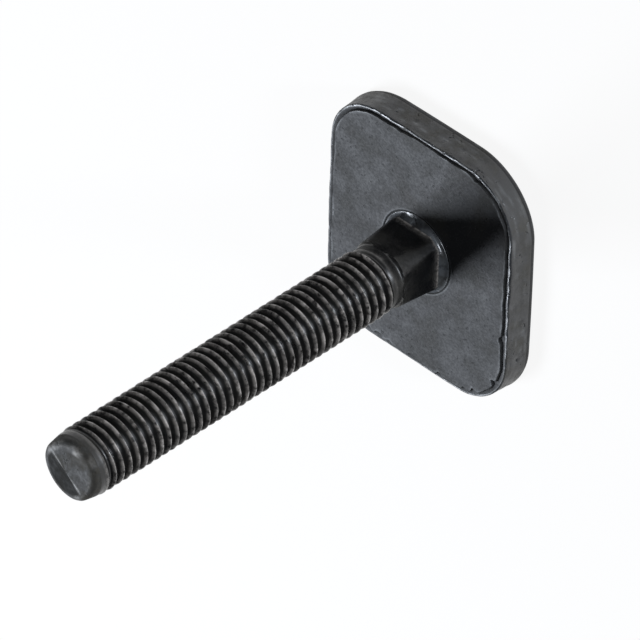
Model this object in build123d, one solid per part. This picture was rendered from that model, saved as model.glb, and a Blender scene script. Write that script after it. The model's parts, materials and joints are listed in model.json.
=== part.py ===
"""T slot bolt, M12 x 80: a forged plate head, a square neck, a round shank and a dished point.

The bolt is one forged piece, so it is one solid. It stands on the back of its head: Z = 0 is the
back face, the origin is on the shank's axis, and +Z runs up the shank to the point. X is across the
head's shorter side and Y along its longer side. All sizes are in millimetres.
"""
from build123d import *
import math
import os

# Head: a plate that fills the slot, wider at its back than at its clamping face
HEAD_WIDTH = 41.3            # X, over the bowed sides at the clamping end
HEAD_HEIGHT = 47.3           # Y, over the bowed sides at the clamping end
HEAD_THICKNESS = 5.8         # back face to clamping face
HEAD_CORNER_RADIUS = 10.4    # at the clamping end
HEAD_CORNER_GROWTH = 2.8     # what the corner radius gains towards the back
SIDE_BOW = 0.3               # rise of each side's arc over a straight side
SIDE_DRAFT = 1.0             # what each side gains towards the back
BACK_EDGE_RADIUS = 1.2       # rounding where the sides meet the back face

# Clamping face: a land that stands a step above the rim left by trimming
RIM_WIDTH = 0.6              # between the side wall and the land
RIM_DEPTH = 0.4              # from the land down to the rim

# Square neck, which keeps the bolt from turning in the slot
NECK_FLATS = 10.6            # across the flats
NECK_LENGTH = 8.4            # clamping face to the end of the flats
NECK_CORNERS_BASE = 13.8     # across the rounded corners at the clamping face
NECK_CORNERS_END = 12.1      # across the rounded corners at the end of the flats
NECK_FLAT_FILLET = 2.0       # hollow at the foot of each flat, down to the clamping face
NECK_FOOT_RADIUS = 0.5       # at the foot of the rounded corners

# Shank, measured from the clamping face
THREAD_MAJOR = 12.0          # M12, over the crests
LENGTH_UNDER_HEAD = 80.0     # clamping face to the end of the point
WAIST_DIAMETER = 11.3        # plain length between the neck and the thread
WAIST_LENGTH = 2.2
LEAD_ANGLE = 45.0            # of the cones beside the waist and the ramps that end the flats

# Point: a long taper, a small edge chamfer and the shallow dish that thread rolling leaves
POINT_LENGTH = 4.4           # thread crests to the end
POINT_DIAMETER = 10.7        # at the foot of the edge chamfer
EDGE_CHAMFER = 0.5           # 45 degrees
DISH_DIAMETER = 7.6
DISH_DEPTH = 0.35

FACE_Z = HEAD_THICKNESS
END_Z = FACE_Z + LENGTH_UNDER_HEAD
DISH_RADIUS = (DISH_DIAMETER ** 2 / 4 + DISH_DEPTH ** 2) / (2 * DISH_DEPTH)


def bowed_plate(width: float, height: float, radius: float, z: float) -> Sketch:
    """A flat outline with four bowed sides and rounded corners.

    width and height are over the bows, radius is the corner's, and z is the outline's level.
    """
    x = width / 2 - SIDE_BOW
    y = height / 2 - SIDE_BOW
    sides = Wire([
        ThreePointArc((-x, -y), (0, -height / 2), (x, -y)),
        ThreePointArc((x, -y), (width / 2, 0), (x, y)),
        ThreePointArc((x, y), (0, height / 2), (-x, y)),
        ThreePointArc((-x, y), (-width / 2, 0), (-x, -y)),
    ])
    sharp = make_face(sides)
    return Pos(0, 0, z) * fillet(sharp.vertices(), radius)


def head() -> Part:
    """The drafted plate with its rounded back edge, its rim and its raised land."""
    rim_z = HEAD_THICKNESS - RIM_DEPTH
    back = bowed_plate(
        HEAD_WIDTH + 2 * SIDE_DRAFT,
        HEAD_HEIGHT + 2 * SIDE_DRAFT,
        HEAD_CORNER_RADIUS + HEAD_CORNER_GROWTH,
        0,
    )
    front = bowed_plate(HEAD_WIDTH, HEAD_HEIGHT, HEAD_CORNER_RADIUS, rim_z)
    plate = loft([back, front], ruled=True)
    back_edges = plate.edges().filter_by(lambda e: e.center().Z < 1e-6)
    plate = fillet(back_edges, BACK_EDGE_RADIUS)
    land = bowed_plate(
        HEAD_WIDTH - 2 * RIM_WIDTH,
        HEAD_HEIGHT - 2 * RIM_WIDTH,
        HEAD_CORNER_RADIUS - RIM_WIDTH,
        rim_z,
    )
    return plate + extrude(land, RIM_DEPTH)


def cone_rise(inner: float, outer: float) -> float:
    """Length of a lead cone between two diameters."""
    return (outer - inner) / 2 / math.tan(math.radians(LEAD_ANGLE))


def shank() -> Part:
    """Neck, waist, thread length and point as one turned form, before the flats are cut."""
    crest = THREAD_MAJOR / 2
    waist = WAIST_DIAMETER / 2
    corners_end = NECK_CORNERS_END / 2
    neck_end = FACE_Z + NECK_LENGTH
    waist_start = neck_end + cone_rise(WAIST_DIAMETER, NECK_CORNERS_END)
    waist_end = waist_start + WAIST_LENGTH
    crest_start = waist_end + cone_rise(WAIST_DIAMETER, THREAD_MAJOR)
    dish = DISH_DIAMETER / 2
    corners_base = NECK_CORNERS_BASE / 2
    foot_share = NECK_FOOT_RADIUS / NECK_LENGTH
    foot_top = (
        corners_base + (corners_end - corners_base) * foot_share,
        FACE_Z + NECK_FOOT_RADIUS,
    )
    foot_edge = (foot_top[0] + NECK_FOOT_RADIUS, FACE_Z)
    under = Line((0, FACE_Z), foot_edge)
    foot = RadiusArc(foot_edge, foot_top, NECK_FOOT_RADIUS)
    outside = Polyline(
        foot_top,
        (corners_end, neck_end),
        (waist, waist_start),
        (waist, waist_end),
        (crest, crest_start),
        (crest, END_Z - POINT_LENGTH),
        (POINT_DIAMETER / 2, END_Z - EDGE_CHAMFER),
        (POINT_DIAMETER / 2 - EDGE_CHAMFER, END_Z),
        (dish, END_Z),
    )
    dished = RadiusArc((dish, END_Z), (0, END_Z - DISH_DEPTH), DISH_RADIUS)
    axis = Line((0, END_Z - DISH_DEPTH), (0, FACE_Z))
    profile = make_face(Wire([under, foot, *outside.edges(), dished, axis]))
    return revolve(Plane.XZ * profile, Axis.Z)


def neck_flat_cutter() -> Part:
    """What one flat removes on the +X side: a hollow foot, a straight flat and a ramp out."""
    flat = NECK_FLATS / 2
    reach = NECK_CORNERS_BASE / 2 + NECK_FLAT_FILLET
    neck_end = FACE_Z + NECK_LENGTH
    side = Polyline(
        (flat, FACE_Z + NECK_FLAT_FILLET),
        (flat, neck_end),
        (reach, neck_end + (reach - flat) / math.tan(math.radians(LEAD_ANGLE))),
        (reach, FACE_Z),
        (flat + NECK_FLAT_FILLET, FACE_Z),
    )
    hollow = RadiusArc(side @ 1, side @ 0, NECK_FLAT_FILLET)
    section = make_face(Wire([*side.edges(), hollow]))
    return extrude(Plane.XZ * section, reach, both=True)


def bolt() -> Part:
    """The whole forging: the plate head, and the turned form with its four flats."""
    flats = [Rot(0, 0, 90 * turn) * neck_flat_cutter() for turn in range(4)]
    return head() + (shank() - flats)


if __name__ == "__main__":
    os.makedirs("parts", exist_ok=True)
    part = bolt()
    part.label = "t_slot_bolt"
    export_step(part, "parts/t_slot_bolt.step")
    print(f"t_slot_bolt: {part.volume:.0f} mm3, {len(part.faces())} faces")
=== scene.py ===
"""T slot bolt, dressed: a forged plate head, a square neck, a rolled thread and a cropped point.

The bolt is one piece of steel, so one closed mesh stands for its solid. The mesh is sewn from rings
of points that run from the back of the head to the end of the point. Each part of the bolt is a
class that sews its own rings, and the finishes are laid on by zone. Shapes are worked out in
millimetres about the bolt's axis and turned to metres when the mesh is made.
"""

import json
import logging
import math
from collections.abc import Iterable
from dataclasses import dataclass, field
from enum import Enum

import bpy
import numpy as np
from mathutils import Matrix, Vector

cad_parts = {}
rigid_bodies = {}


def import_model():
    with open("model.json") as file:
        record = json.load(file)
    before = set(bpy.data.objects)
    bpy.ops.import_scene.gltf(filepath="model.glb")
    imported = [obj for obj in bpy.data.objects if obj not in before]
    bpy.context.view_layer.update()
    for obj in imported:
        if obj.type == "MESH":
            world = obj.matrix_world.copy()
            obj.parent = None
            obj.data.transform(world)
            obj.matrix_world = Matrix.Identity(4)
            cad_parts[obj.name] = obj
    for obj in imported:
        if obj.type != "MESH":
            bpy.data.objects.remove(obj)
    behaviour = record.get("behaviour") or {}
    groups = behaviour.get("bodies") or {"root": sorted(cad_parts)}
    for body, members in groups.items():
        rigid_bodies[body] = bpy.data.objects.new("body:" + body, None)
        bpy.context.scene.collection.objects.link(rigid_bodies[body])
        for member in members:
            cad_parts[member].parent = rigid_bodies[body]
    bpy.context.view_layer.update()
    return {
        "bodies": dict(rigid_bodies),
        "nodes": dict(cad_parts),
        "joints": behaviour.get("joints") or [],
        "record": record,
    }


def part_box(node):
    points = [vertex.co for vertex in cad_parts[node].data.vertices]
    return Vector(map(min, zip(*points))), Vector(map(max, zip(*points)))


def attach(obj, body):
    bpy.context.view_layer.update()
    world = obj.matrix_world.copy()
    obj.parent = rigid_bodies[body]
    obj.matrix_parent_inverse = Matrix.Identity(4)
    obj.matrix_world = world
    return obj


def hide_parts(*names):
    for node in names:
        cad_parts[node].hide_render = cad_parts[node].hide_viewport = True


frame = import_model()

MM = 0.001                    # metres in a millimetre
NODE = "t_slot_bolt"
WELD_DECIMALS = 5             # of a millimetre; points that agree to these are one
FIFTHS = (0.2, 0.4, 0.6, 0.8, 1.0)    # shares at which a short rounding or taper has its rings

log = logging.getLogger("t_slot_bolt")


class Zone(Enum):
    """Which finish a stretch of the surface carries; the value is the material's index."""

    FORGED = 0                # the clamping land and the back
    TRIMMED = 1               # the wall, the rim and the neck's foot, as the dies leave them
    ROLLED = 2                # neck and thread
    CROPPED = 3               # the taper and the sheared end


class Mark(Enum):
    """What is stored at each point for the finishes to read; the value is the attribute's name."""

    TRIM = "trim"             # painted shade: 1 in the dark step that the trimming die leaves; also laid in the groove round the neck's foot and on the far side of the cropped end
    WEAR = "wear"             # 1 on an edge that is rubbed bright; on the lip, the land's edge, the foot's ring, the thread's crests and the point's rim and ridge partly a painted highlight
    GROOVE = "groove"         # 1 at the root of the thread, 0 on its crest


def smooth(value: np.ndarray | float, low: float, high: float) -> np.ndarray:
    """Eases from 0 at low to 1 at high.

    Args:
        value: Where to read the curve.
        low: Where it leaves 0.
        high: Where it reaches 1.

    Returns:
        The eased share, with level ends.
    """
    share = np.clip((np.asarray(value, float) - low) / (high - low), 0.0, 1.0)
    return share * share * (3.0 - 2.0 * share)


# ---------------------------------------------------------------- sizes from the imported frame


@dataclass(frozen=True)
class BoltSizes:
    """The driving sizes of the bolt in millimetres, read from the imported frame."""

    half_width: float         # X, over the widest level of the head
    half_height: float        # Y, over the widest level of the head
    face: float               # level of the clamping face
    top: float                # level of the end of the point
    crest: float              # radius over the thread's crests
    crest_start: float        # where the full crest radius begins
    crest_end: float          # where it ends and the point begins

    @classmethod
    def from_frame(cls, packed: dict) -> "BoltSizes":
        """Reads the sizes from the node's box and the record's mounts.


        Returns:
            The driving sizes.
        """
        mounts = {mount["name"]: mount for mount in packed["record"]["mounts"]}
        thread = mounts["thread"]
        middle = thread["pos_m"][2] / MM
        reach = thread["dims"]["length_mm"] / 2
        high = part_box(NODE)[1]
        return cls(
            half_width=high.x / MM,
            half_height=high.y / MM,
            face=mounts["clamping_face"]["pos_m"][2] / MM,
            top=high.z / MM,
            crest=thread["dims"]["r_mm"],
            crest_start=middle - reach,
            crest_end=middle + reach,
        )


# ---------------------------------------------------------------- rings, noise and the skin


@dataclass
class Grain:
    """Seeded unevenness, smooth between its knots and closed round a ring."""

    seed: int
    draw: np.random.Generator = field(init=False)

    def __post_init__(self) -> None:
        """Starts the seeded draw."""
        self.draw = np.random.default_rng(self.seed)

    def around(self, count: int, knots: int) -> np.ndarray:
        """Unevenness round a ring.

        Args:
            count: How many points the ring has.
            knots: How many random values lie round it.

        Returns:
            A value from -1 to 1 for each point.
        """
        return self.over(1, count, 2, knots)[0]

    def over(self, rows: int, count: int, row_knots: int, knots: int) -> np.ndarray:
        """Unevenness over a band of rings.

        Args:
            rows: How many rings the band has.
            count: How many points each ring has.
            row_knots: How many random values lie across the band.
            knots: How many random values lie round it.

        Returns:
            A value from -1 to 1 for each point of each ring.
        """
        table = self.draw.uniform(-1.0, 1.0, (row_knots, knots))
        across = np.linspace(0.0, row_knots - 1.0, rows)
        along = np.arange(count) * knots / count
        low_row = np.minimum(across.astype(int), row_knots - 2)
        low = along.astype(int) % knots
        row_share = smooth(across - low_row, 0.0, 1.0)[:, None]
        share = smooth(along - along.astype(int), 0.0, 1.0)[None, :]
        high = (low + 1) % knots
        near = table[low_row][:, low] * (1 - share) + table[low_row][:, high] * share
        far = table[low_row + 1][:, low] * (1 - share) + table[low_row + 1][:, high] * share
        return near * (1 - row_share) + far * row_share


@dataclass
class Skin:
    """A closed surface sewn from rings of points that run anticlockwise about +Z."""

    points: list[np.ndarray] = field(default_factory=list)
    marks: dict[Mark, list[np.ndarray]] = field(default_factory=lambda: {mark: [] for mark in Mark})
    faces: list[tuple[int, ...]] = field(default_factory=list)
    zones: list[int] = field(default_factory=list)
    count: int = 0

    def add(self, points: np.ndarray, **marks: np.ndarray | float) -> np.ndarray:
        """Adds points and their marks.

        Args:
            points: The points, one to a row, in millimetres.
            marks: For a mark's name, its value or one value for each point.

        Returns:
            The index of each point.
        """
        amount = len(points)
        self.points.append(np.asarray(points, float))
        for mark, values in self.marks.items():
            values.append(np.broadcast_to(marks.get(mark.value, 0.0), amount).astype(float))
        start = self.count
        self.count += amount
        return np.arange(start, start + amount)

    def panels(self, corners: Iterable[np.ndarray], zone: Zone) -> None:
        """Adds faces, with one list of points for each corner.

        Args:
            corners: The first corner of every face, then the second corners and so on. The shortest
                list says how many faces there are.
            zone: The finish that the faces carry.
        """
        made = list(zip(*(corner.tolist() for corner in corners)))
        self.faces += made
        self.zones += [zone.value] * len(made)

    def bridge(self, first: np.ndarray, second: np.ndarray, zone: Zone) -> None:
        """Joins two rings of as many points with a band of four-sided faces."""
        self.panels((first, np.roll(first, -1), np.roll(second, -1), second), zone)

    def stack(self, rings: list[np.ndarray], zone: Zone) -> None:
        """Joins each ring to the next with a band of faces."""
        for first, second in zip(rings, rings[1:]):
            self.bridge(first, second, zone)

    def zip_rings(self, first: np.ndarray, second: np.ndarray, zone: Zone) -> None:
        """Joins two rings of different counts with triangles, keeping step by angle.

        Args:
            first: The ring that the surface comes from.
            second: The ring that it goes to.
            zone: The finish that the band carries.
        """
        placed = np.concatenate(self.points)
        turns = []
        for ring in (first, second):
            angle = np.unwrap(np.arctan2(placed[ring, 1], placed[ring, 0]))
            turns.append(np.append(angle, angle[0] + 2 * math.pi))
        a, b = 0, 0
        while a < len(first) or b < len(second):
            on_first = b == len(second) or (a < len(first) and turns[0][a + 1] <= turns[1][b + 1])
            here = int(first[a % len(first)])
            there = int(second[b % len(second)])
            if on_first:
                a += 1
                self.faces.append((here, int(first[a % len(first)]), there))
            else:
                b += 1
                self.faces.append((here, int(second[b % len(second)]), there))
            self.zones.append(zone.value)

    def fan(self, ring: np.ndarray, centre: int, inward_last: bool, zone: Zone) -> None:
        """Closes a ring on one point.

        Args:
            ring: The ring's indices.
            centre: The point's index.
            inward_last: True where the surface ends on the point, False where it starts there.
            zone: The finish that the fan carries.
        """
        after = np.roll(ring, -1)
        middle = np.full(len(ring), centre)
        self.panels((ring, after, middle) if inward_last else (middle, after, ring), zone)

    def mesh(self, name: str) -> bpy.types.Mesh:
        """Welds points that coincide, drops faces that close up and makes the mesh in metres.

        Args:
            name: The mesh's name.

        Returns:
            The mesh, with its marks stored at its points.
        """
        placed = np.concatenate(self.points)
        keys = np.round(placed, WELD_DECIMALS) + 0.0
        _, chosen, merged = np.unique(keys, axis=0, return_index=True, return_inverse=True)
        merged = merged.reshape(-1)
        faces, zones = [], []
        for face, zone in zip(self.faces, self.zones):
            corners: list[int] = []
            for corner in face:
                index = int(merged[corner])
                if index not in corners:
                    corners.append(index)
            if len(corners) > 2:
                faces.append(corners)
                zones.append(zone)
        made = bpy.data.meshes.new(name)
        made.from_pydata((placed[chosen] * MM).tolist(), [], faces)
        made.polygons.foreach_set("material_index", zones)
        for mark, values in self.marks.items():
            attribute = made.attributes.new(mark.value, "FLOAT", "POINT")
            attribute.data.foreach_set("value", np.concatenate(values)[chosen].astype(np.float32))
        made.update()
        return made


def ring_at(radius: np.ndarray | float, level: np.ndarray | float, angles: np.ndarray) -> np.ndarray:
    """Points of a ring about the axis.

    Args:
        radius: One radius, or one for each point.
        level: One level, or one for each point.
        angles: The angle of each point, in radians.

    Returns:
        The points, one to a row.
    """
    across = np.broadcast_to(radius, angles.shape)
    height = np.broadcast_to(level, angles.shape)
    return np.column_stack((across * np.cos(angles), across * np.sin(angles), height))


def turn_from(angles: np.ndarray, middle: float) -> np.ndarray:
    """How far each angle, in radians, lies from a middle given in degrees: radians, -pi to pi."""
    return np.angle(np.exp(1j * (angles - math.radians(middle))))


# ---------------------------------------------------------------- the head


@dataclass(frozen=True)
class Outline:
    """Points round the head at one level, and the way out from each."""

    points: np.ndarray        # X and Y
    outward: np.ndarray       # unit X and Y


@dataclass(frozen=True)
class Chip:
    """A bite out of the land's edge, placed by the angle that it is seen at from the axis."""

    angle: float              # degrees, anticlockwise from +X
    length: float             # along the edge
    depth: float              # in from the edge


@dataclass(frozen=True)
class Ding:
    """A shallow pit with a slightly raised lip."""

    x: float
    y: float
    radius: float
    depth: float
    lip: float = 0.35                # the lip's height as a share of the depth
    lip_place: float = 1.25          # radii from the middle to the lip
    pit_spread: float = 1.4          # how steeply the pit dies out
    lip_spread: float = 9            # and the lip

    def rise(self, ring: np.ndarray) -> np.ndarray:
        """Works out what the ding does to a ring.

        Args:
            ring: The ring's points.

        Returns:
            How far it lifts each point, negative where it sinks it.
        """
        away = np.hypot(ring[:, 0] - self.x, ring[:, 1] - self.y) / self.radius
        pit = np.exp(-(away ** 2) * self.pit_spread)
        lip = self.lip * np.exp(-((away - self.lip_place) ** 2) * self.lip_spread)
        return self.depth * (lip - pit)


@dataclass
class PlateHead:
    """The forged plate, with a drafted wall, a trimmed rim and a raised clamping land."""

    sizes: BoltSizes
    seed: int = 11
    wall_draft: float = 1.0          # what each side gains from the rim to the back
    rim_drop: float = 0.4            # from the land down to the rim
    back_edge: float = 1.2           # rounding where the wall meets the back
    front_corner: float = 10.4       # corner radius at the rim
    corner_growth: float = 2.8       # what it gains towards the back
    side_bow: float = 0.3            # rise of each side over a straight one
    shoulder: float = 0.35           # rounding from the wall onto the rim
    long_columns: int = 80           # points along a side that runs along Y
    short_columns: int = 62          # points along a side that runs along X
    corner_columns: int = 49         # points round a corner
    face_rows: int = 38
    back_rows: int = 9
    wall_rows: int = 11
    back_hub: float = 5.0            # radius where the back's rings begin
    foot_clear: float = 8.3          # radius where the land's rings begin
    land_margin: float = 0.36        # from the land's edge in to where its burr has died out
    land_crowd: float = 1.12         # above 1, the land's rings crowd towards its edge
    back_hollow: float = 0.035       # how far the back stands clear of what it lies on
    back_tuck: float = 0.03          # what its rounded edge gives way at the start
    back_wear: float = 0.5
    wall_wave: float = 0.05          # broad unevenness of the wall
    wall_drag: float = 0.035         # marks dragged up it by the die
    wall_dent: float = 0.16          # its small dents at their deepest
    dent_from: float = 0.62          # share of the unevenness that leaves no dent
    drag_wear: float = 0.55
    chip_bite: float = 0.7           # share of a chip's depth that is cut away
    lip_rise: float = 0.05           # rise of the rim's lip, and how far it wanders
    burr_rise: float = 0.035         # burr along the land's edge
    step_depth: float = 0.1          # from the rim down to the dark step's floor
    step_grain: float = 0.04         # unevenness of that floor
    # unevenness of the land's edge: its depth, and how many knots lie round the head
    ragged: tuple[tuple[float, int], ...] = ((0.12, 60), (0.07, 170))
    # inset of the land's edge from the rim, at eight places anticlockwise from +X
    land_insets: tuple[float, ...] = (1.05, 1.0, 0.72, 1.25, 1.3, 1.2, 1.0, 1.1)
    chips: tuple[Chip, ...] = (
        Chip(246.5, 1.6, 0.9),
        Chip(251.5, 1.9, 1.0),
        Chip(257.0, 1.3, 0.6),
        Chip(268.5, 1.2, 0.8),
        Chip(284.5, 1.3, 0.75),
        Chip(297.0, 1.2, 0.7),
        Chip(302.5, 1.5, 1.0),
        Chip(318.0, 1.4, 1.1),
        Chip(340.5, 1.7, 0.6),
        Chip(62.0, 1.4, 0.35),
        Chip(101.0, 1.5, 0.3),
    )
    dings: tuple[Ding, ...] = (
        Ding(-14.6, 0.4, 0.75, 0.07),
        Ding(-10.3, 2.8, 0.55, 0.05),
        Ding(-9.4, 21.6, 0.3, 0.08),
        Ding(5.9, -16.3, 0.35, 0.06),
        Ding(-8.7, -19.9, 0.4, 0.05),
        Ding(17.6, 14.1, 0.35, 0.06),
        Ding(-16.4, -11.8, 0.4, 0.05),
        Ding(12.2, -9.7, 0.4, 0.04),
    )

    def __post_init__(self) -> None:
        """Works out the levels and half sizes that the outlines follow."""
        self.rim = self.sizes.face - self.rim_drop
        self.slope = self.wall_draft / self.rim
        lean = math.atan(self.slope)
        self.edge_sweep = math.pi / 2 + lean
        # the wall's line, continued down to the back, stands this far outside the widest level
        self.overhang = self.back_edge * (1 / math.cos(lean) + math.tan(lean) - 1)
        self.grain = Grain(self.seed)
        self.columns = 2 * (self.long_columns + self.short_columns) + 4 * self.corner_columns

    def outline(self, level: float) -> Outline:
        """The wall's outline at a level, with the same points on each side and corner.

        Args:
            level: Height over the back, in millimetres.

        Returns:
            The outline, starting in the middle of the +X side.
        """
        radius = self.front_corner + self.corner_growth * (1 - level / self.rim)
        half_x = self.sizes.half_width + self.overhang - self.slope * level
        half_y = self.sizes.half_height + self.overhang - self.slope * level
        core_x = half_x - radius
        core_y = half_y - radius
        points, outward = [], []
        corners = ((core_x, core_y), (-core_x, core_y), (-core_x, -core_y), (core_x, -core_y))
        for quarter, (x, y) in enumerate(corners):
            start = quarter * math.pi / 2
            for step in range(self.corner_columns):
                angle = start + (step + 0.5) / self.corner_columns * math.pi / 2
                points.append((x + radius * math.cos(angle), y + radius * math.sin(angle)))
                outward.append((math.cos(angle), math.sin(angle)))
            steps = self.short_columns if quarter % 2 == 0 else self.long_columns
            next_x, next_y = corners[(quarter + 1) % 4]
            way = (math.cos(start + math.pi / 2), math.sin(start + math.pi / 2))
            for step in range(steps):
                share = (step + 0.5) / steps
                points.append((
                    x + (next_x - x) * share + radius * way[0],
                    y + (next_y - y) * share + radius * way[1],
                ))
                outward.append(way)
        place = np.roll(np.array(points), self.long_columns // 2, axis=0)
        way_out = np.roll(np.array(outward), self.long_columns // 2, axis=0)
        # each side stands proud at its middle: the sharp corner form has a bow of side_bow
        bowed = place.copy()
        bowed[:, 0] *= 1 - self.side_bow / half_x * (place[:, 1] / half_y) ** 2
        bowed[:, 1] *= 1 - self.side_bow / half_y * (place[:, 0] / half_x) ** 2
        return Outline(bowed, way_out)

    def inset(self, level: float, inward: np.ndarray | float, height: np.ndarray | float) -> np.ndarray:
        """A ring inside the wall's outline.

        Args:
            level: The level whose outline is used.
            inward: How far in from it each point lies.
            height: The height of each point.

        Returns:
            The ring's points.
        """
        line = self.outline(level)
        depth = np.broadcast_to(inward, len(line.points))[:, None]
        flat = line.points - line.outward * depth
        return np.column_stack((flat, np.broadcast_to(height, len(flat))))

    def angles(self) -> np.ndarray:
        """The angle of each column at the rim, in radians."""
        line = self.outline(self.rim).points
        return np.arctan2(line[:, 1], line[:, 0])

    def sew_back(self, skin: Skin, around: np.ndarray) -> list[np.ndarray]:
        """Sews the back face and its rounded edge.

        Args:
            skin: The surface to add to.
            around: The angles of the shank's columns.

        Returns:
            The rings of the rounded edge, the last one on the wall.
        """
        core = skin.add(np.array([[0.0, 0.0, 0.0]]))
        hub = [skin.add(ring_at(self.back_hub * share, 0.0, around)) for share in (0.4, 1.0)]
        skin.fan(hub[0], int(core[0]), False, Zone.FORGED)
        skin.stack(hub, Zone.FORGED)
        start = ring_at(self.back_hub * 1.06, 0.0, self.angles())
        edge_in = self.back_edge + self.overhang
        end = self.inset(0.0, edge_in, 0.0)
        rings = []
        unevenness = self.grain.over(self.back_rows, self.columns, 5, 30)
        for row, share in enumerate(np.linspace(0.0, 1.0, self.back_rows)):
            ring = start + (end - start) * share
            ring[:, 2] = self.back_hollow * (1 + unevenness[row]) * math.sin(math.pi * share) ** 0.5
            rings.append(skin.add(ring))
        skin.zip_rings(hub[-1], rings[0], Zone.FORGED)
        worn = self.grain.around(self.columns, 90)
        for share in FIFTHS:
            sweep = self.edge_sweep * share
            height = self.back_edge * (1 - math.cos(sweep))
            inward = edge_in - self.back_edge * math.sin(sweep) - self.slope * height
            rubbed = self.back_wear * math.sin(math.pi * share) * np.clip(worn, 0, 1)
            tuck = self.back_tuck * (1 - share)
            rings.append(skin.add(self.inset(height, inward + tuck, height), wear=rubbed))
        skin.stack(rings, Zone.FORGED)
        return rings

    def sew_wall(self, skin: Skin, last: np.ndarray) -> np.ndarray:
        """Sews the wall, with the drag marks and small dents of a trimmed forging.

        Args:
            skin: The surface to add to.
            last: The ring at the top of the rounded back edge.

        Returns:
            The ring at the foot of the shoulder.
        """
        foot = self.back_edge * (1 - math.cos(self.edge_sweep))
        top = self.rim - self.shoulder
        waves = self.grain.over(self.wall_rows, self.columns, 5, 34)
        drags = self.grain.over(self.wall_rows, self.columns, self.wall_rows, 70)
        dents = self.grain.over(self.wall_rows, self.columns, 7, 110)
        rings = [last]
        for row in range(1, self.wall_rows):
            share = row / (self.wall_rows - 1)
            height = foot + (top - foot) * share
            depth = self.wall_wave * (1 + waves[row]) + self.wall_drag * (1 + drags[row]) * share
            depth += self.wall_dent * np.clip(dents[row] - self.dent_from, 0, 1) / (1 - self.dent_from)
            depth *= smooth(share, 0.0, 0.25)
            rubbed = self.drag_wear * smooth(drags[row], 0.35, 0.95)
            rings.append(skin.add(self.inset(height, depth, height), wear=rubbed))
        skin.stack(rings, Zone.TRIMMED)
        return rings[-1]

    def land_edge(self) -> np.ndarray:
        """Works out where the land's edge runs, ragged and chipped.

        Returns:
            How far in from the rim's outline it lies, at each column.
        """
        places = np.radians(np.arange(9) * 45.0)
        values = np.array(self.land_insets + self.land_insets[:1])
        turn = np.mod(self.angles(), 2 * math.pi)
        inset = np.interp(turn, places, values)
        for depth, knots in self.ragged:
            inset += depth * self.grain.around(self.columns, knots)
        reach = np.linalg.norm(self.outline(self.rim).points, axis=1)
        for chip in self.chips:
            away = turn_from(turn, chip.angle) * reach
            bite = np.clip(1 - (np.abs(away) / (chip.length / 2)) ** 2.5, 0, 1)
            inset += self.chip_bite * chip.depth * bite
        return inset

    def sew_rim(self, skin: Skin, last: np.ndarray, edge: np.ndarray) -> np.ndarray:
        """Sews the shoulder, the dark step and the land's edge with its burr.

        Args:
            skin: The surface to add to.
            last: The ring at the top of the wall.
            edge: The inset of the land's edge at each column.

        Returns:
            The ring on the land just inside the burr.
        """
        face = self.sizes.face
        ragged = self.grain.around(self.columns, 120)
        broad = self.grain.around(self.columns, 26)
        lip = self.rim + self.lip_rise + self.lip_rise * ragged + self.lip_rise * broad
        burr = self.burr_rise * (1 + self.grain.around(self.columns, 90))
        # the land's edge is drawn pale in places: partly a rubbed burr, partly a painted highlight
        edge_wear_and_glint = smooth(self.grain.around(self.columns, 70), -0.55, 0.7)
        floor = self.rim - self.step_depth + self.step_grain * self.grain.around(self.columns, 150)
        # each ring's inset from the rim's outline, its height, its painted shade (the dark step) and
        # its wear, which on the lip and along the land's edge is partly a painted highlight
        steps = (
            (0.06, lip - 0.19, 0.0, 0.1),
            (0.22 + 0.03 * ragged, lip - 0.03, 0.0, 0.35),
            (0.44 + 0.04 * broad, lip, 0.25, 0.15),
            (edge * 0.45 + 0.30, floor + 0.07, 0.5, 0.0),
            (edge - 0.12, floor, 0.8, 0.0),
            (edge - 0.03, self.rim + 0.17, 0.8, 0.0),
            (edge + 0.01, face - 0.10, 0.5, 0.1),
            (edge + 0.07, face - 0.01 + burr * 0.6, 0.1, edge_wear_and_glint * 0.75),
            (edge + 0.17, face + burr, 0.0, edge_wear_and_glint * 0.55),
            (edge + self.land_margin, face + burr * 0.2, 0.0, edge_wear_and_glint * 0.25),
        )
        rings = [last]
        for inward, height, trim, wear in steps:
            rings.append(skin.add(self.inset(self.rim, inward, height), trim=trim, wear=wear))
        lip_top = 3                  # the ring where the trimmed finish ends
        skin.stack(rings[:lip_top + 1], Zone.TRIMMED)
        skin.stack(rings[lip_top:], Zone.FORGED)
        return rings[-1]

    def sew_land(self, skin: Skin, last: np.ndarray, edge: np.ndarray) -> np.ndarray:
        """Sews the clamping land in to a circle round the neck, with its dings.

        Args:
            skin: The surface to add to.
            last: The ring just inside the burr.
            edge: The inset of the land's edge at each column.

        Returns:
            The circle round the neck.
        """
        start = self.inset(self.rim, edge + self.land_margin, self.sizes.face)
        end = ring_at(self.foot_clear, self.sizes.face, self.angles())
        rings = [last]
        for row in range(1, self.face_rows + 1):
            share = (row / self.face_rows) ** self.land_crowd
            ring = start + (end - start) * share
            for ding in self.dings:
                ring[:, 2] += ding.rise(ring)
            rings.append(skin.add(ring))
        skin.stack(rings, Zone.FORGED)
        return rings[-1]

    def sew(self, skin: Skin, around: np.ndarray) -> np.ndarray:
        """Sews the whole head.

        Args:
            skin: The surface to add to.
            around: The angles of the shank's columns.

        Returns:
            The circle round the neck, on the land.
        """
        rings = self.sew_back(skin, around)
        wall_top = self.sew_wall(skin, rings[-1])
        edge = self.land_edge()
        land = self.sew_rim(skin, wall_top, edge)
        return self.sew_land(skin, land, edge)


# ---------------------------------------------------------------- the neck


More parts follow.
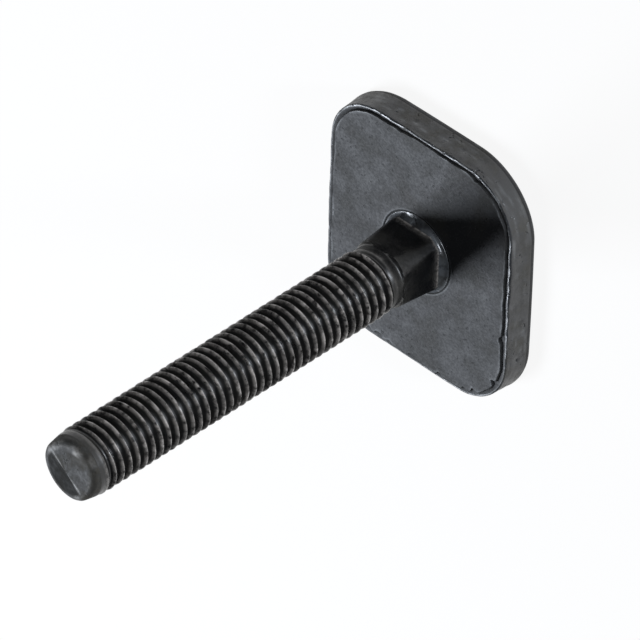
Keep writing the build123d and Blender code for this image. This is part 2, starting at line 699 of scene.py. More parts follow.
@dataclass
class SquareNeck:
    """The square neck: a tapering turned form with four flats, hollow at the foot."""

    sizes: BoltSizes
    columns: int
    flat: float = 5.3                # axis to a flat
    length: float = 8.4              # clamping face to the end of the flats
    corner_base: float = 6.9         # axis to a rounded corner at the face
    corner_end: float = 6.05         # axis to a rounded corner at the end of the flats
    hollow: float = 2.0              # radius of the hollow at the foot of a flat
    foot: float = 0.5                # radius at the foot of a rounded corner
    waist: float = 5.65              # plain length before the thread
    waist_end: float = 9.75          # over the face, where the thread's run-out starts
    crease_share: float = 11 / 15    # share of an eighth's columns that lie on a flat
    soft: float = 0.22               # how far the crease between flat and corner is rounded
    flat_step: float = 0.64          # between rings along the flats
    uneven: float = 0.05             # how far the flats and corners wander
    # paints the neck's foot pale: partly wear, partly the light that falls in the hollow
    foot_wear_and_light: float = 0.8
    foot_top: int = 6                # the ring where the foot's trimmed finish ends
    seed: int = 23

    def turned(self, height: float) -> float:
        """Works out the turned form that the flats are cut from.

        Args:
            height: Height over the face.

        Returns:
            Its radius there.
        """
        taper = self.corner_base + (self.corner_end - self.corner_base) * height / self.length
        if height < self.foot:
            reach = self.foot - height
            taper += self.foot - math.sqrt(self.foot ** 2 - reach ** 2)
        if height > self.length:
            taper = max(self.waist, self.corner_end - (height - self.length))
        return taper

    def side(self, height: float) -> float:
        """Works out how far a flat's surface lies from the axis.

        Args:
            height: Height over the face.

        Returns:
            The distance, growing in the hollow and up the ramp.
        """
        if height < self.hollow:
            reach = self.hollow - height
            return self.flat + self.hollow - math.sqrt(self.hollow ** 2 - reach ** 2)
        return self.flat + max(0.0, height - self.length)

    def crease(self, height: float) -> float:
        """Angle from the middle of a flat to its edge, in radians."""
        share = min(1.0, self.side(height) / self.turned(height))
        return math.acos(share)

    def bent_angles(self, around: np.ndarray, height: float) -> np.ndarray:
        """Columns moved so that the same ones always lie on the edges of the flats.

        Args:
            around: The even angles of the columns.
            height: Height over the face.

        Returns:
            The angles at that height.
        """
        eighth = math.pi / 4
        settle = float(smooth(height, self.length + 0.2, self.waist_end))
        base = min(max(height, self.hollow), self.length)
        edge = self.crease(base)
        near = np.round(around / (2 * eighth)) * 2 * eighth
        away = around - near
        share = np.abs(away) / eighth
        cut = self.crease_share
        bent = np.where(
            share <= cut,
            share / cut * edge,
            edge + (share - cut) / (1 - cut) * (eighth - edge),
        )
        return near + np.sign(away) * (bent * (1 - settle) + share * eighth * settle)

    def radius(self, angles: np.ndarray, height: float) -> np.ndarray:
        """Radius of the neck: the turned form or a flat, whichever lies inside, softly joined.

        Args:
            angles: The angle of each column.
            height: Height over the face.

        Returns:
            The radius at each column.
        """
        quarter = math.pi / 2
        away = angles - np.round(angles / quarter) * quarter
        cut = self.side(height) / np.cos(away)
        round_form = self.turned(height)
        soft = self.soft * float(smooth(height, 0.0, self.hollow)) + 0.02
        gap = np.clip((soft - np.abs(cut - round_form)) / soft, 0.0, 1.0)
        return np.minimum(cut, round_form) - gap * gap * soft / 4

    def sew_foot(self, skin: Skin, land: np.ndarray, around: np.ndarray) -> list[np.ndarray]:
        """Sews the pressed ring round the foot of the neck.

        Args:
            skin: The surface to add to.
            land: The circle on the land.
            around: The angles of the columns.

        Returns:
            The rings, the last one beside the neck's foot.
        """
        face = self.sizes.face
        # each ring's radius, its height over the face, its painted shade (in the groove) and its wear,
        # which on the raised ring is partly a painted highlight
        steps = (
            (8.15, 0.0, 0.0, 0.0),
            (7.92, 0.035, 0.0, 0.35),
            (7.78, 0.03, 0.0, 0.6),
            (7.68, -0.04, 0.3, 0.1),
            (7.56, -0.13, 0.9, 0.0),
            (7.46, -0.12, 0.9, 0.0),
        )
        rings = []
        for radius, height, trim, wear in steps:
            ring = ring_at(radius, face + height, around)
            rings.append(skin.add(ring, trim=trim, wear=wear))
        skin.zip_rings(land, rings[0], Zone.FORGED)
        skin.stack(rings, Zone.FORGED)
        return rings

    def sew(self, skin: Skin, land: np.ndarray, around: np.ndarray) -> np.ndarray:
        """Sews the neck from the land to the start of the thread's run-out.

        Args:
            skin: The surface to add to.
            land: The circle on the land.
            around: The angles of the columns.

        Returns:
            The ring where the thread's run-out starts.
        """
        grain = Grain(self.seed)
        rings = [self.sew_foot(skin, land, around)[-1]]
        # heights over the face, close together in the hollow and on the ramp
        low = (0.0, 0.06, 0.16, 0.3, 0.5, 0.75, 1.05, 1.4, 1.7, self.hollow)
        flats = tuple(self.hollow + step * self.flat_step for step in range(1, 10))
        ends = (8.0, 8.25, 8.4, 8.5, 8.6, 8.75, 8.9, 9.1, 9.4, self.waist_end)
        levels = low + flats + ends
        wander = grain.over(len(levels), self.columns, 6, 20)
        for row, height in enumerate(levels):
            angles = self.bent_angles(around, height)
            radius = self.radius(angles, height)
            settle = float(smooth(height, 0.3, 2.0) * (1 - smooth(height, 8.8, self.waist_end)))
            radius = radius + self.uneven * wander[row] * settle
            ring = ring_at(radius, self.sizes.face + height, angles)
            # the lowest rows are drawn pale and take the lighter trimmed finish: partly wear, partly
            # painted light in the hollow at the neck's foot
            worn = self.foot_wear_and_light - self.foot_wear_and_light * float(smooth(height, 0.5, 1.2))
            rings.append(skin.add(ring, wear=worn))
        skin.stack(rings[:self.foot_top + 1], Zone.TRIMMED)
        skin.stack(rings[self.foot_top:], Zone.ROLLED)
        return rings[-1]


# ---------------------------------------------------------------- the thread and the point


@dataclass
class CroppedPoint:
    """The point: a long taper, a rolled-over rim and an end cropped to a low ridge."""

    sizes: BoltSizes
    columns: int
    cone_end: float = 5.35           # radius where the long taper ends
    cone_length: float = 3.9
    ridge_column: int = 44           # the column that the ridge runs out to
    far_slope: float = 0.09          # fall of the end away from the ridge, on one side
    near_slope: float = 0.25         # and on the other
    far_round: float = 0.6           # rounding of the rim on those sides
    near_round: float = 1.7
    rim_squash: float = 0.8          # height of the rim's rounding as a share of its width
    rim_reach: float = 5.2           # radius at which the end's fall sets the rim's level
    end_drop: float = 0.02           # what the ridge lies under the top of the bolt
    taper_uneven: float = 0.025
    rim_uneven: float = 0.02
    end_uneven: float = 0.015
    rim_wear: float = 0.6
    # pale line along the ridge: partly wear, partly a painted highlight
    ridge_wear_and_glint: float = 0.7
    ridge_narrow: float = 9          # the larger, the narrower the wear along the ridge
    far_side_shade: float = 0.85           # how dark the painted shade on the far side of the ridge is drawn
    # painted highlights on the rim, drawn as pale knocks: direction and spread, in degrees
    painted_rim_glints: tuple[tuple[float, float], ...] = ((141.0, 15.0), (74.0, 9.0), (300.0, 8.0))
    seed: int = 37

    def cone(self, level: np.ndarray | float) -> np.ndarray:
        """Radius of the long taper at a level."""
        share = (np.asarray(level, float) - self.sizes.crest_end) / self.cone_length
        return self.sizes.crest + (self.cone_end - self.sizes.crest) * np.clip(share, 0.0, 1.3)

    def ridge_angle(self) -> float:
        """The ridge's direction, in radians."""
        return self.ridge_column * 2 * math.pi / self.columns

    def fall(self, radius: np.ndarray, angles: np.ndarray) -> np.ndarray:
        """How far the cropped end lies under the top of the bolt.

        Args:
            radius: Distance from the axis.
            angles: The angle of each point.

        Returns:
            The fall at each point, with the ridge rounded a little.
        """
        across = radius * np.sin(self.ridge_angle() - angles)
        fall = np.where(across > 0, self.near_slope * across, -self.far_slope * across)
        return fall + self.end_drop

    def sew(self, skin: Skin, last: np.ndarray, start: float, around: np.ndarray) -> None:
        """Sews the point from the thread's end to the middle of the cropped end.

        Args:
            skin: The surface to add to.
            last: The ring at the end of the thread.
            start: The level of that ring.
            around: The angles of the columns.
        """
        grain = Grain(self.seed)
        across = np.sin(self.ridge_angle() - around)
        rounding = self.far_round + (self.near_round - self.far_round) * (0.5 + 0.5 * across)
        top = self.sizes.top
        rise = rounding * self.rim_squash
        fall = self.fall(np.full(self.columns, self.rim_reach), around)
        rim_radius = self.cone(top - fall - rise)
        inner = rim_radius - rounding
        rim_level = top - self.fall(inner, around) - rise
        rings = [last]
        uneven = grain.over(20, self.columns, 9, 26)
        for row, share in enumerate(FIFTHS):
            level = start + (rim_level - start) * share
            radius = self.cone(level) + self.taper_uneven * uneven[row] * share
            rings.append(skin.add(ring_at(radius, level, around)))
        for row, sweep in enumerate(np.radians((20, 40, 58, 74, 90)), len(FIFTHS)):
            radius = rim_radius - rounding * (1 - math.cos(sweep)) + self.rim_uneven * uneven[row]
            worn = self.rim_wear * smooth(grain.around(self.columns, 9), 0.3, 0.9) * math.sin(2 * sweep)
            for middle, width in self.painted_rim_glints:
                away = np.degrees(turn_from(around, middle))
                worn = np.maximum(worn, np.exp(-((away / width) ** 2)) * math.sin(sweep) ** 2)
            level = rim_level + rise * math.sin(sweep)
            rings.append(skin.add(ring_at(radius, level, around), wear=worn))
        # painted shade: the far side of the ridge is drawn darker through the shade mark
        far_shade = self.far_side_shade * smooth(-across, 0.0, 0.25)
        near_ridge = np.clip(1 - np.abs(across) * self.ridge_narrow, 0, 1)
        first_row = 8                # of the unevenness that the end's rings read
        for row, share in enumerate((0.9, 0.8, 0.7, 0.6, 0.5, 0.4, 0.3, 0.2, 0.1, 0.04), first_row):
            radius = inner * share
            level = top - self.fall(radius, around) - self.end_uneven * (1 + uneven[row])
            worn = self.ridge_wear_and_glint * near_ridge * smooth(share, 0.05, 0.5)
            rings.append(skin.add(ring_at(radius, level, around), wear=worn, trim=far_shade))
        skin.stack(rings, Zone.CROPPED)
        core = skin.add(np.array([[0.0, 0.0, top - self.end_drop]]))
        skin.fan(rings[-1], int(core[0]), True, Zone.CROPPED)


@dataclass
class RolledThread:
    """A right-handed rolled thread, sewn along its helix so that each crest is one clean line."""

    sizes: BoltSizes
    columns: int
    start: float                     # level where the run-out begins
    waist: float                     # radius there
    point: CroppedPoint
    pitch: float = 1.75
    root: float = 4.93               # axis to the root
    crest_flat: float = 0.10         # half the flat on a crest
    flank: float = math.radians(30)  # from a line square to the axis
    crest_level: float = 78.64       # a level at which a crest crosses the +X side
    run_in: tuple[float, float] = (15.7, 18.3)     # levels between which the root deepens
    swell: tuple[float, float] = (16.4, 17.9)      # levels between which the crest grows
    run_out: tuple[float, float] = (80.0, 83.2)    # levels between which the root fades
    end: float = 83.4
    crest_soft: float = 0.16         # how far the profile is rounded at the crest
    root_soft: float = 0.34          # and at the root
    dent_knots: int = 24             # round one turn of the crest
    dent_depth: float = 0.07
    crest_share: float = 0.15        # share of the depth that still counts as crest
    crest_rub_and_glint: tuple[float, float] = (1.2, 2.6)          # pale wear at the crest, partly a painted highlight, and its fall down the flank
    settle: tuple[float, float] = (2, 3)           # lengths at the two ends that stay unworn
    seed: int = 53
    # distance from the crest's middle line of each line of points, over one pitch
    lines: tuple[float, ...] = (
        0.0, 0.10, 0.19, 0.42, 0.62, 0.75, 0.875, 1.0, 1.13, 1.33, 1.56, 1.65,
    )

    def depth(self, offset: np.ndarray) -> np.ndarray:
        """Depth of the profile under its crest.

        Args:
            offset: Distance from a crest's middle line, up to a pitch.

        Returns:
            The depth, rounded at the crest and in the root.
        """
        away = np.minimum(offset, self.pitch - offset)
        whole = self.sizes.crest - self.root
        straight = (away - self.crest_flat) / math.tan(self.flank)
        gap = np.clip((self.crest_soft - np.abs(straight)) / self.crest_soft, 0.0, 1.0)
        lifted = np.maximum(straight, 0.0) + gap * gap * self.crest_soft / 4
        gap = np.clip((self.root_soft - np.abs(lifted - whole)) / self.root_soft, 0.0, 1.0)
        return np.minimum(lifted, whole) - gap * gap * self.root_soft / 4

    def crest_radius(self, level: np.ndarray) -> np.ndarray:
        """Radius over the crests at a level, from the waist to the taper of the point."""
        grown = self.waist + (self.sizes.crest - self.waist) * smooth(level, *self.swell)
        return np.minimum(grown, self.point.cone(level))

    def root_radius(self, level: np.ndarray) -> np.ndarray:
        """Works out the radius at the roots, shallow at both ends of the thread.

        Args:
            level: The levels to read it at.

        Returns:
            The radius at each.
        """
        crest = self.crest_radius(level)
        painted_root_shade = smooth(level, *self.run_in) * (1 - smooth(level, *self.run_out))
        return crest + (np.minimum(self.root, crest) - crest) * painted_root_shade

    def dents(self, turns: int) -> np.ndarray:
        """Draws how far each turn's crest is knocked, smoothly along it.

        Args:
            turns: How many turns there are.

        Returns:
            A value from -1 to 1 for each column of each turn.
        """
        drawn = Grain(self.seed).draw.uniform(-1, 1, (turns, self.dent_knots))
        knots = np.linspace(0, self.dent_knots, self.columns, endpoint=False)
        low = knots.astype(int)
        ease = smooth(knots - low, 0, 1)
        return drawn[:, low] * (1 - ease) + drawn[:, (low + 1) % self.dent_knots] * ease

    def sew(self, skin: Skin, around: np.ndarray) -> np.ndarray:
        """Sews the thread between its two plain ends.

        Args:
            skin: The surface to add to.
            around: The angles of the columns.

        Returns:
            The last line of points, which closes up into the ring where the point starts.
        """
        per_turn = len(self.lines)
        first_turn = math.floor((self.start - self.crest_level) / self.pitch) - 2
        last_turn = math.ceil((self.end - self.crest_level) / self.pitch) + 1
        turns = np.arange(first_turn, last_turn + 1)
        base = (self.crest_level + self.pitch * turns[:, None] + np.array(self.lines)[None, :]).ravel()
        offset = np.tile(np.array(self.lines), len(turns))
        climb = self.pitch * around / (2 * math.pi)
        helix = base[:, None] + climb[None, :]
        level = np.clip(helix, self.start, self.end)
        crest = self.crest_radius(level)
        root = self.root_radius(level)
        share = self.depth(offset)[:, None] / (self.sizes.crest - self.root)
        knocked = np.clip(np.repeat(self.dents(len(turns)), per_turn, axis=0), 0, 1)
        run_up, run_down = self.settle
        settled = smooth(level, self.start, self.start + run_up)
        settled = settled * (1 - smooth(level, self.end - run_down, self.end))
        worn = self.dent_depth * knocked * (share < self.crest_share) * settled
        radius = crest - (crest - root) * share - worn
        depth = (crest - radius) / (self.sizes.crest - self.root)
        # the crests are drawn pale: partly wear, partly a painted highlight
        most, fall = self.crest_rub_and_glint
        rubbed = np.clip(most - share * fall, 0, 1) * (0.5 + 0.5 * knocked) * settled
        rows = [
            skin.add(ring_at(radius[row], level[row], around), groove=depth[row], wear=rubbed[row])
            for row in range(len(base))
        ]
        for row, (here, beyond) in enumerate(zip(rows, rows[1:])):
            side, corner = here[1:], beyond[1:]
            if row + per_turn + 1 < len(rows):
                # the end of a line meets the start of the line that lies one turn higher
                side = np.append(side, rows[row + per_turn][0])
                corner = np.append(corner, rows[row + per_turn + 1][0])
            skin.panels((here, side, corner, beyond), Zone.ROLLED)
        return rows[-1]


# ---------------------------------------------------------------- finishes


Sockets = dict[str, bpy.types.NodeSocket]    # outputs of nodes, by what they carry


def linear(hex_colour: str) -> tuple[float, float, float, float]:
    """Turns an sRGB colour such as "#1c1d1f" to linear light.

    Args:
        hex_colour: The colour as six hexadecimal digits after a #.

    Returns:
        Red, green, blue and full alpha.
    """
    channels = [int(hex_colour[start:start + 2], 16) / 255 for start in (1, 3, 5)]
    lit = [c / 12.92 if c <= 0.04045 else ((c + 0.055) / 1.055) ** 2.4 for c in channels]
    return (lit[0], lit[1], lit[2], 1.0)


def add_node(
    tree: bpy.types.NodeTree,
    kind: str,
    settings: dict[str, object] | None = None,
    inputs: dict[str | int, object] | None = None,
) -> bpy.types.Node:
    """Adds a node with its settings, and links or sets its inputs.

    Args:
        tree: The tree to add to.
        kind: The node's type name.
        settings: Values for the node's own properties.
        inputs: For an input's name or number, the output that feeds it or its value.

    Returns:
        The node.
    """
    made = tree.nodes.new(kind)
    for name, value in (settings or {}).items():
        setattr(made, name, value)
    for name, value in (inputs or {}).items():
        if isinstance(value, bpy.types.NodeSocket):
            tree.links.new(value, made.inputs[name])
        else:
            made.inputs[name].default_value = value
    return made


def empty_tree(owner: bpy.types.Material | bpy.types.World) -> bpy.types.NodeTree:
    """Turns on the nodes of a material or a room and clears them.

    Args:
        owner: What the nodes belong to.

    Returns:
        Its node tree.
    """
    owner.use_nodes = True
    owner.node_tree.nodes.clear()
    return owner.node_tree


def per_metre(size: float) -> float:
    """Texture scale at which one feature of a pattern is about size millimetres across."""
    return 1 / (size * MM)


@dataclass(frozen=True)
class BlackOxide:
    """Black oxide over steel: a thin converted layer, oiled, that is nearly black and satin.

    It gives the eye almost no colour of its own. What shows is a broad soft sheen, broken up by the
    grain of the steel under it, and bare bright steel where an edge is rubbed; some pale edges are
    painted highlights, and its darker colour in the step, roots and far end is painted shade.
    """

    name: str
    colour: str = "#121316"
    drift: str = "#1a1915"           # where the oil has browned
    painted_shade_colour: str = "#08090a"    # painted shade, in the step, in the roots and on the far side of the point's end
    bare_and_glint: str = "#7d8184"            # rubbed through to the steel, and the colour of the painted highlights on edges
    roughness: float = 0.66
    rough_spread: float = 0.035      # how far it drifts either way
    speckle: float = 0.04            # how far the pitting shifts it either way
    ior: float = 1.5
    grain: float = 0.40              # mm, the skin's small pitting
    grain_depth: float = 0.012       # mm
    fine: float = 0.16               # mm, drawn as coarse as this because finer grit does not show
    fine_depth: float = 0.006        # mm
    drift_size: float = 6.0          # mm
    pock: float = 0.95               # mm, sparse pock marks
    pock_depth: float = 0.05         # mm
    trim_matt: float = 0.12          # what the dark step adds to the roughness
    polish: float = 0.18             # what rubbing takes off it
    patch: float = 1.5               # mm, patches of rubbed steel
    wear_and_glint_strength: float = 0.55      # how much of the steel, or of the painted highlight, shows where it is most rubbed

    def material(self) -> bpy.types.Material:
        """Builds the finish as a node material.

        Returns:
            The material.
        """
        made = bpy.data.materials.new(self.name)
        tree = empty_tree(made)
        values = self.patterns(tree)
        shader = add_node(
            tree,
            "ShaderNodeBsdfPrincipled",
            inputs={
                "Base Color": self.tint(tree, values),
                "Roughness": self.sheen(tree, values),
                "Normal": self.relief(tree, values),
                "Metallic": 0.0,
                "IOR": self.ior,
            },
        )
        add_node(tree, "ShaderNodeOutputMaterial", inputs={"Surface": shader.outputs["BSDF"]})
        return made

    def patterns(self, tree: bpy.types.NodeTree) -> Sockets:
        """Adds the stored marks, the clouds of each size and the stretches read from them.

        Args:
            tree: The material's tree.

        Returns:
            The output that carries each of them, by name.
        """
        place = add_node(tree, "ShaderNodeTexCoord").outputs["Object"]
        values = {}
        for mark in Mark:
            stored = add_node(tree, "ShaderNodeAttribute", {"attribute_name": mark.value})
            values[mark.value] = stored.outputs["Fac"]
        # the size of a cloud in millimetres, and how many finer layers it carries
        clouds = {
            "drift": (self.drift_size, 3.0),
            "pits": (self.grain, 2.0),
            "grit": (self.fine, 1.0),
            "patches": (self.patch, 4.0),
            "pocks": (self.pock, 2.0),
        }
        for name, (size, detail) in clouds.items():
            inputs = {"Vector": place, "Scale": per_metre(size), "Detail": detail, "Roughness": 0.55}
            values[name] = add_node(tree, "ShaderNodeTexNoise", inputs=inputs).outputs["Fac"]
        dull = self.roughness + self.rough_spread
        glossy = self.roughness - self.rough_spread
        # what a stretch reads, where it begins and ends, and what it gives there
        stretches = {
            "pocked": ("pocks", 0.62, 0.74, 1.0, 0.0),
            "browned": ("drift", 0.42, 0.68, 0.0, 0.9),
            # painted shade: the thread's roots are drawn darker
            "painted_root_shade": (Mark.GROOVE.value, 0.35, 0.95, 0.0, 1.0),
            "bared": ("patches", 0.28, 0.62, 0.0, 1.0),
            "skin": ("drift", 0.35, 0.65, glossy, dull),
            "speckled": ("pits", 0.3, 0.7, -self.speckle, self.speckle),
        }
        for name, (source, low, high, start, end) in stretches.items():
            read = {"Value": values[source], "From Min": low, "From Max": high}
            given = {"To Min": start, "To Max": end}
            eased = {"interpolation_type": "SMOOTHSTEP"}
            stretch = add_node(tree, "ShaderNodeMapRange", eased, {**read, **given})
            values[name] = stretch.outputs["Result"]
        return values

    def tint(self, tree: bpy.types.NodeTree, values: Sockets) -> bpy.types.NodeSocket:
        """Colours it: black, browned in clouds, painted shade in the step, roots and far end, bare or
        painted highlight where rubbed.

        Args:
            tree: The material's tree.
            values: What patterns() returned.

        Returns:
            The output that carries the colour.
        """
        rubbed = values[Mark.WEAR.value]
        for share in (values["bared"], self.wear_and_glint_strength):
            step = add_node(tree, "ShaderNodeMath", {"operation": "MULTIPLY"}, {0: rubbed, 1: share})
            rubbed = step.outputs["Value"]
        colour = linear(self.colour)
        layers = (
            (values["browned"], self.drift),
            (values[Mark.TRIM.value], self.painted_shade_colour),
            (values["painted_root_shade"], self.painted_shade_colour),
            (rubbed, self.bare_and_glint),
        )
        for share, over in layers:
            # for colours, a mix has its share at input 0, the two colours at 6 and 7, the blend at 2
            mixed = add_node(
                tree,
                "ShaderNodeMix",
                {"data_type": "RGBA", "blend_type": "MIX"},
                {0: share, 6: colour, 7: linear(over)},
            )
            colour = mixed.outputs[2]
        return colour

    def sheen(self, tree: bpy.types.NodeTree, values: Sockets) -> bpy.types.NodeSocket:
        """Sets how matt it is: uneven over the skin, matt in the step, smoother where it is rubbed.

        Args:
            tree: The material's tree.
            values: What patterns() returned.

        Returns:
            The output that carries the roughness.
        """
        rough = values["skin"]
        shifts = (
            (values["speckled"], 1.0),
            (values[Mark.TRIM.value], self.trim_matt),
            (values[Mark.WEAR.value], -self.polish),
        )
        for value, share in shifts:
            inputs = {0: value, 1: share, 2: rough}
            step = add_node(tree, "ShaderNodeMath", {"operation": "MULTIPLY_ADD"}, inputs)
            rough = step.outputs["Value"]
        return rough

    def relief(self, tree: bpy.types.NodeTree, values: Sockets) -> bpy.types.NodeSocket:
        """Adds the small relief: pitting, finer grit over it and sparse pock marks.

        Args:
            tree: The material's tree.
            values: What patterns() returned.

        Returns:
            The output that carries the surface's direction.
        """
        facing: Sockets = {}
        layers = ((self.grain_depth, "pits"), (self.fine_depth, "grit"), (self.pock_depth, "pocked"))
        for depth, height in layers:
            inputs = {"Strength": 1.0, "Distance": depth * MM, "Height": values[height], **facing}
            facing = {"Normal": add_node(tree, "ShaderNodeBump", inputs=inputs).outputs["Normal"]}
        return facing["Normal"]


# hot forged, then blacked: an even, dull grey-black, faintly mottled, with a few pock marks
FORGED_SKIN = BlackOxide(name="black_oxide_forged")
# sheared by the trimming die: a brighter, uneven sheen that browns in the dragged hollows; its lighter
# colour partly paints the light that the wall and the neck's foot catch
TRIMMED_AND_LIGHTENED_SKIN = BlackOxide(
    name="black_oxide_trimmed_lightened",
    colour="#1c1e21",
    drift="#2b2923",
    roughness=0.50,
    rough_spread=0.09,
    ior=1.75,
    grain=0.7,
    grain_depth=0.045,
    drift_size=3.5,
    pock=1.4,
    pock_depth=0.12,
    patch=2.2,
    wear_and_glint_strength=0.5,
)
# cold rolled under hard dies: the blackest and smoothest, its crests rubbed to pale steel in patches,
# which is partly a painted highlight, and its roots painted dark as shade
ROLLED_SKIN = BlackOxide(
    name="black_oxide_rolled",
    colour="#0c0c0d",
    drift="#14130f",
    painted_shade_colour="#050505",
    bare_and_glint="#cbc3bb",
    roughness=0.36,
    rough_spread=0.06,
    ior=1.6,
    grain=1.3,
    grain_depth=0.05,
    fine=0.3,
    pock_depth=0.015,
    patch=1.0,
    wear_and_glint_strength=0.9,
)
# sheared off the bar: torn, brownish and quite matt, with pale scuffs along its rim and ridge that are
# partly painted highlights, and painted shade on the far side of the end
CROPPED_SKIN = BlackOxide(
    name="black_oxide_cropped",
    colour="#2b2a27",
    drift="#38342c",
    painted_shade_colour="#11110e",
    bare_and_glint="#a5a19c",
    roughness=0.70,
    rough_spread=0.06,
    trim_matt=0.26,
    grain=0.8,
    grain_depth=0.06,
    drift_size=2.2,
    pock_depth=0.06,
    patch=0.9,
    wear_and_glint_strength=0.7,
)
FINISHES = {
    Zone.FORGED: FORGED_SKIN,
    Zone.TRIMMED: TRIMMED_AND_LIGHTENED_SKIN,
    Zone.ROLLED: ROLLED_SKIN,
    Zone.CROPPED: CROPPED_SKIN,
}


# ---------------------------------------------------------------- the bolt


def add_object(name: str, data: bpy.types.ID) -> bpy.types.Object:
    """Makes an object and links it to the scene.

    Args:
        name: Its name.
        data: The mesh, lamp or camera that it shows.

    Returns:
        The object.
    """
    made = bpy.data.objects.new(name, data)
    bpy.context.scene.collection.objects.link(made)
    return made


@dataclass
class TSlotBolt:
    """The whole bolt: its parts sewn into one skin, and the finishes laid on."""

    sizes: BoltSizes
    columns: int = 112               # points round the shank
    crisp: float = math.radians(38)  # edges that turn more than this stay sharp

    def sew(self) -> bpy.types.Mesh:
        """Sews head, neck, thread and point into one closed mesh.

        Returns:
            The mesh.
        """
        around = np.arange(self.columns) * 2 * math.pi / self.columns
        skin = Skin()
        head = PlateHead(self.sizes)
        neck = SquareNeck(self.sizes, self.columns)
        point = CroppedPoint(self.sizes, self.columns)
        start = self.sizes.face + neck.waist_end
        thread = RolledThread(self.sizes, self.columns, start, neck.waist, point)
        land = head.sew(skin, around)
        neck.sew(skin, land, around)
        last = thread.sew(skin, around)
        point.sew(skin, last, thread.end, around)
        return skin.mesh(NODE)

    def build(self) -> bpy.types.Object:
        """Makes the bolt's object, rides it on the frame and replaces the plain solid.

        Returns:
            The bolt.
        """
        mesh = self.sew()
        for zone in Zone:
            mesh.materials.append(FINISHES[zone].material())
        mesh.polygons.foreach_set("use_smooth", [True] * len(mesh.polygons))
        mesh.set_sharp_from_angle(angle=self.crisp)
        bolt = add_object("bolt_skin", mesh)
        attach(bolt, "root")
        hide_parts(NODE)
        return bolt


# ---------------------------------------------------------------- floor, light and camera


def toward(azimuth: float, elevation: float) -> Vector:
    """The unit way out at an azimuth, anticlockwise from +X, and an elevation, both in degrees."""
    turn, rise = math.radians(azimuth), math.radians(elevation)
    return Vector((math.cos(rise) * math.cos(turn), math.cos(rise) * math.sin(turn), math.sin(rise)))


@dataclass(frozen=True)
class Lamp:
    """A square soft lamp, placed by where it shines from."""

    name: str
    azimuth: float                   # degrees, anticlockwise from +X
    elevation: float                 # degrees
    distance: float                  # metres from what it is aimed at
    size: float                      # metres along a side
    level: float                     # 1 lights a white surface under it to plain white
    tint: str = "#eef5ff"
    aim: tuple[float, float, float] = (0, 0, 0.02)    # metres, a little up the neck

    def build(self) -> bpy.types.Object:
        """Makes the lamp.

        Returns:
            The lamp.
        """
        light = bpy.data.lights.new(self.name, "AREA")
        light.shape = "SQUARE"
        light.size = self.size
        slant = math.sin(math.radians(self.elevation))
        light.energy = self.level * math.pi ** 2 * self.distance ** 2 / slant
        light.color = linear(self.tint)[:3]
        made = add_object(self.name, light)
        away = toward(self.azimuth, self.elevation)
        made.location = Vector(self.aim) + away * self.distance
        made.rotation_euler = away.to_track_quat("Z", "Y").to_euler()
        return made


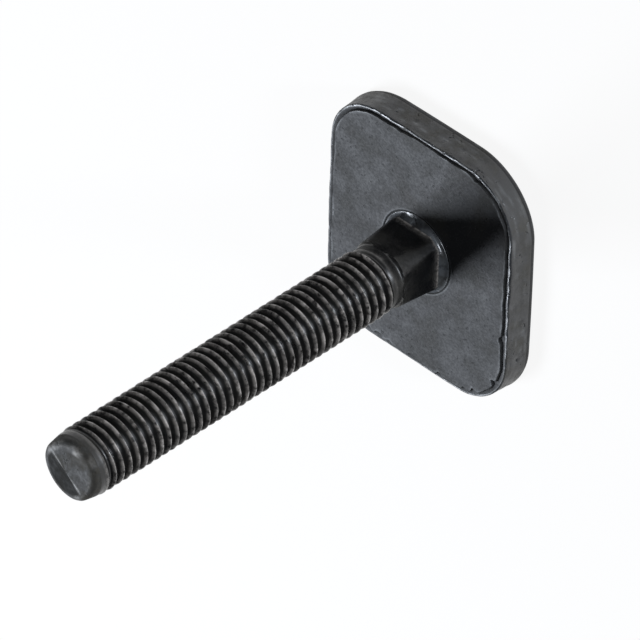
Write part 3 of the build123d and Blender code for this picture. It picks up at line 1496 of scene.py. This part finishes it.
@dataclass(frozen=True)
class Studio:
    """A plain pale floor, two soft lamps and a dim room."""

    floor_reach: float = 3.0         # metres from the middle to an edge
    floor_gap: float = 0.02          # mm under the back, so that the two planes stay apart
    floor_white: float = 0.90        # share of the floor that shows plain white whatever falls on it
    room: float = 0.04               # strength of the room's light
    lamps: tuple[Lamp, ...] = (
        Lamp("key", azimuth=222.0, elevation=46.0, distance=0.9, size=0.30, level=0.85),
        Lamp("fill", azimuth=28.0, elevation=12.0, distance=1.0, size=0.10, level=0.13),
    )

    def floor(self) -> bpy.types.Object:
        """Makes the floor: white to the eye and in reflections, with the bolt's shadow kept.

        Returns:
            The floor.
        """
        reach = self.floor_reach
        under = -self.floor_gap * MM
        corners = [(x * reach, y * reach, under) for x, y in ((-1, -1), (1, -1), (1, 1), (-1, 1))]
        mesh = bpy.data.meshes.new("floor")
        mesh.from_pydata(corners, [], [(0, 1, 2, 3)])
        mesh.materials.append(self.floor_finish())
        made = add_object("floor", mesh)
        return made

    def floor_finish(self) -> bpy.types.Material:
        """The floor's paint: matt white, shown plainly to the camera and to gloss.

        Returns:
            The material.
        """
        made = bpy.data.materials.new("pale_floor")
        tree = empty_tree(made)
        share = self.floor_white
        paths = add_node(tree, "ShaderNodeLightPath").outputs
        for operation, ray in (("MULTIPLY", "Is Camera Ray"), ("MAXIMUM", "Is Glossy Ray")):
            step = add_node(tree, "ShaderNodeMath", {"operation": operation}, {0: paths[ray], 1: share})
            share = step.outputs["Value"]
        paint = add_node(tree, "ShaderNodeBsdfDiffuse", inputs={"Color": linear("#fcfcfc")})
        white = {"Color": linear("#ffffff"), "Strength": 1.0}
        plain = add_node(tree, "ShaderNodeEmission", inputs=white)
        both = {0: share, 1: paint.outputs["BSDF"], 2: plain.outputs["Emission"]}
        mixed = add_node(tree, "ShaderNodeMixShader", inputs=both)
        add_node(tree, "ShaderNodeOutputMaterial", inputs={"Surface": mixed.outputs["Shader"]})
        return made

    def room_light(self) -> None:
        """Sets the room: white behind the floor to the eye, dim as a light."""
        world = bpy.data.worlds.new("room")
        tree = empty_tree(world)
        paths = add_node(tree, "ShaderNodeLightPath").outputs
        seen = {"Value": paths["Is Camera Ray"], "To Min": self.room, "To Max": 1.0}
        strength = add_node(tree, "ShaderNodeMapRange", inputs=seen).outputs["Result"]
        white = {"Color": linear("#ffffff"), "Strength": strength}
        plain = add_node(tree, "ShaderNodeBackground", inputs=white)
        add_node(tree, "ShaderNodeOutputWorld", inputs={"Surface": plain.outputs["Background"]})
        bpy.context.scene.world = world

    def build(self) -> list[bpy.types.Object]:
        """Makes the floor, the lamps and the room.

        Returns:
            The floor and the lamps.
        """
        made = [self.floor(), *(lamp.build() for lamp in self.lamps)]
        self.room_light()
        bpy.context.scene.view_settings.view_transform = "Standard"
        return made


@dataclass(frozen=True)
class Viewpoint:
    """The camera, placed by where it looks from and how it is rolled."""

    aim: tuple[float, float, float] = (0.77, -0.63, 29.06)    # mm
    azimuth: float = 50.425          # degrees, anticlockwise from +X
    elevation: float = 33.871        # degrees
    roll: float = -122.231           # degrees, turns the picture so that the bolt lies across it
    distance: float = 1462.75        # mm
    lens: float = 506.25             # mm
    sensor: float = 36.0             # mm across

    def build(self) -> bpy.types.Object:
        """Makes the camera and gives it to the scene.

        Returns:
            The camera.
        """
        turn, roll = math.radians(self.azimuth), math.radians(self.roll)
        back = toward(self.azimuth, self.elevation)
        level = Vector((-math.sin(turn), math.cos(turn), 0.0))
        upright = back.cross(level)
        right = level * math.cos(roll) + upright * math.sin(roll)
        above = back.cross(right)
        data = bpy.data.cameras.new("camera")
        data.lens = self.lens
        data.sensor_width = self.sensor
        made = add_object("camera", data)
        place = (Vector(self.aim) + back * self.distance) * MM
        made.matrix_world = Matrix((
            (right.x, above.x, back.x, place.x),
            (right.y, above.y, back.y, place.y),
            (right.z, above.z, back.z, place.z),
            (0.0, 0.0, 0.0, 1.0),
        ))
        bpy.context.scene.camera = made
        return made


def main() -> None:
    """Builds the bolt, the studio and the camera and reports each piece."""
    logging.basicConfig(level=logging.INFO, format="%(name)s: %(message)s")
    bolt = TSlotBolt(BoltSizes.from_frame(frame)).build()
    log.info("%s: %d points, %d faces", bolt.name, len(bolt.data.vertices), len(bolt.data.polygons))
    for piece in (*Studio().build(), Viewpoint().build()):
        log.info("%s: in place", piece.name)


if __name__ == "__main__":
    main()
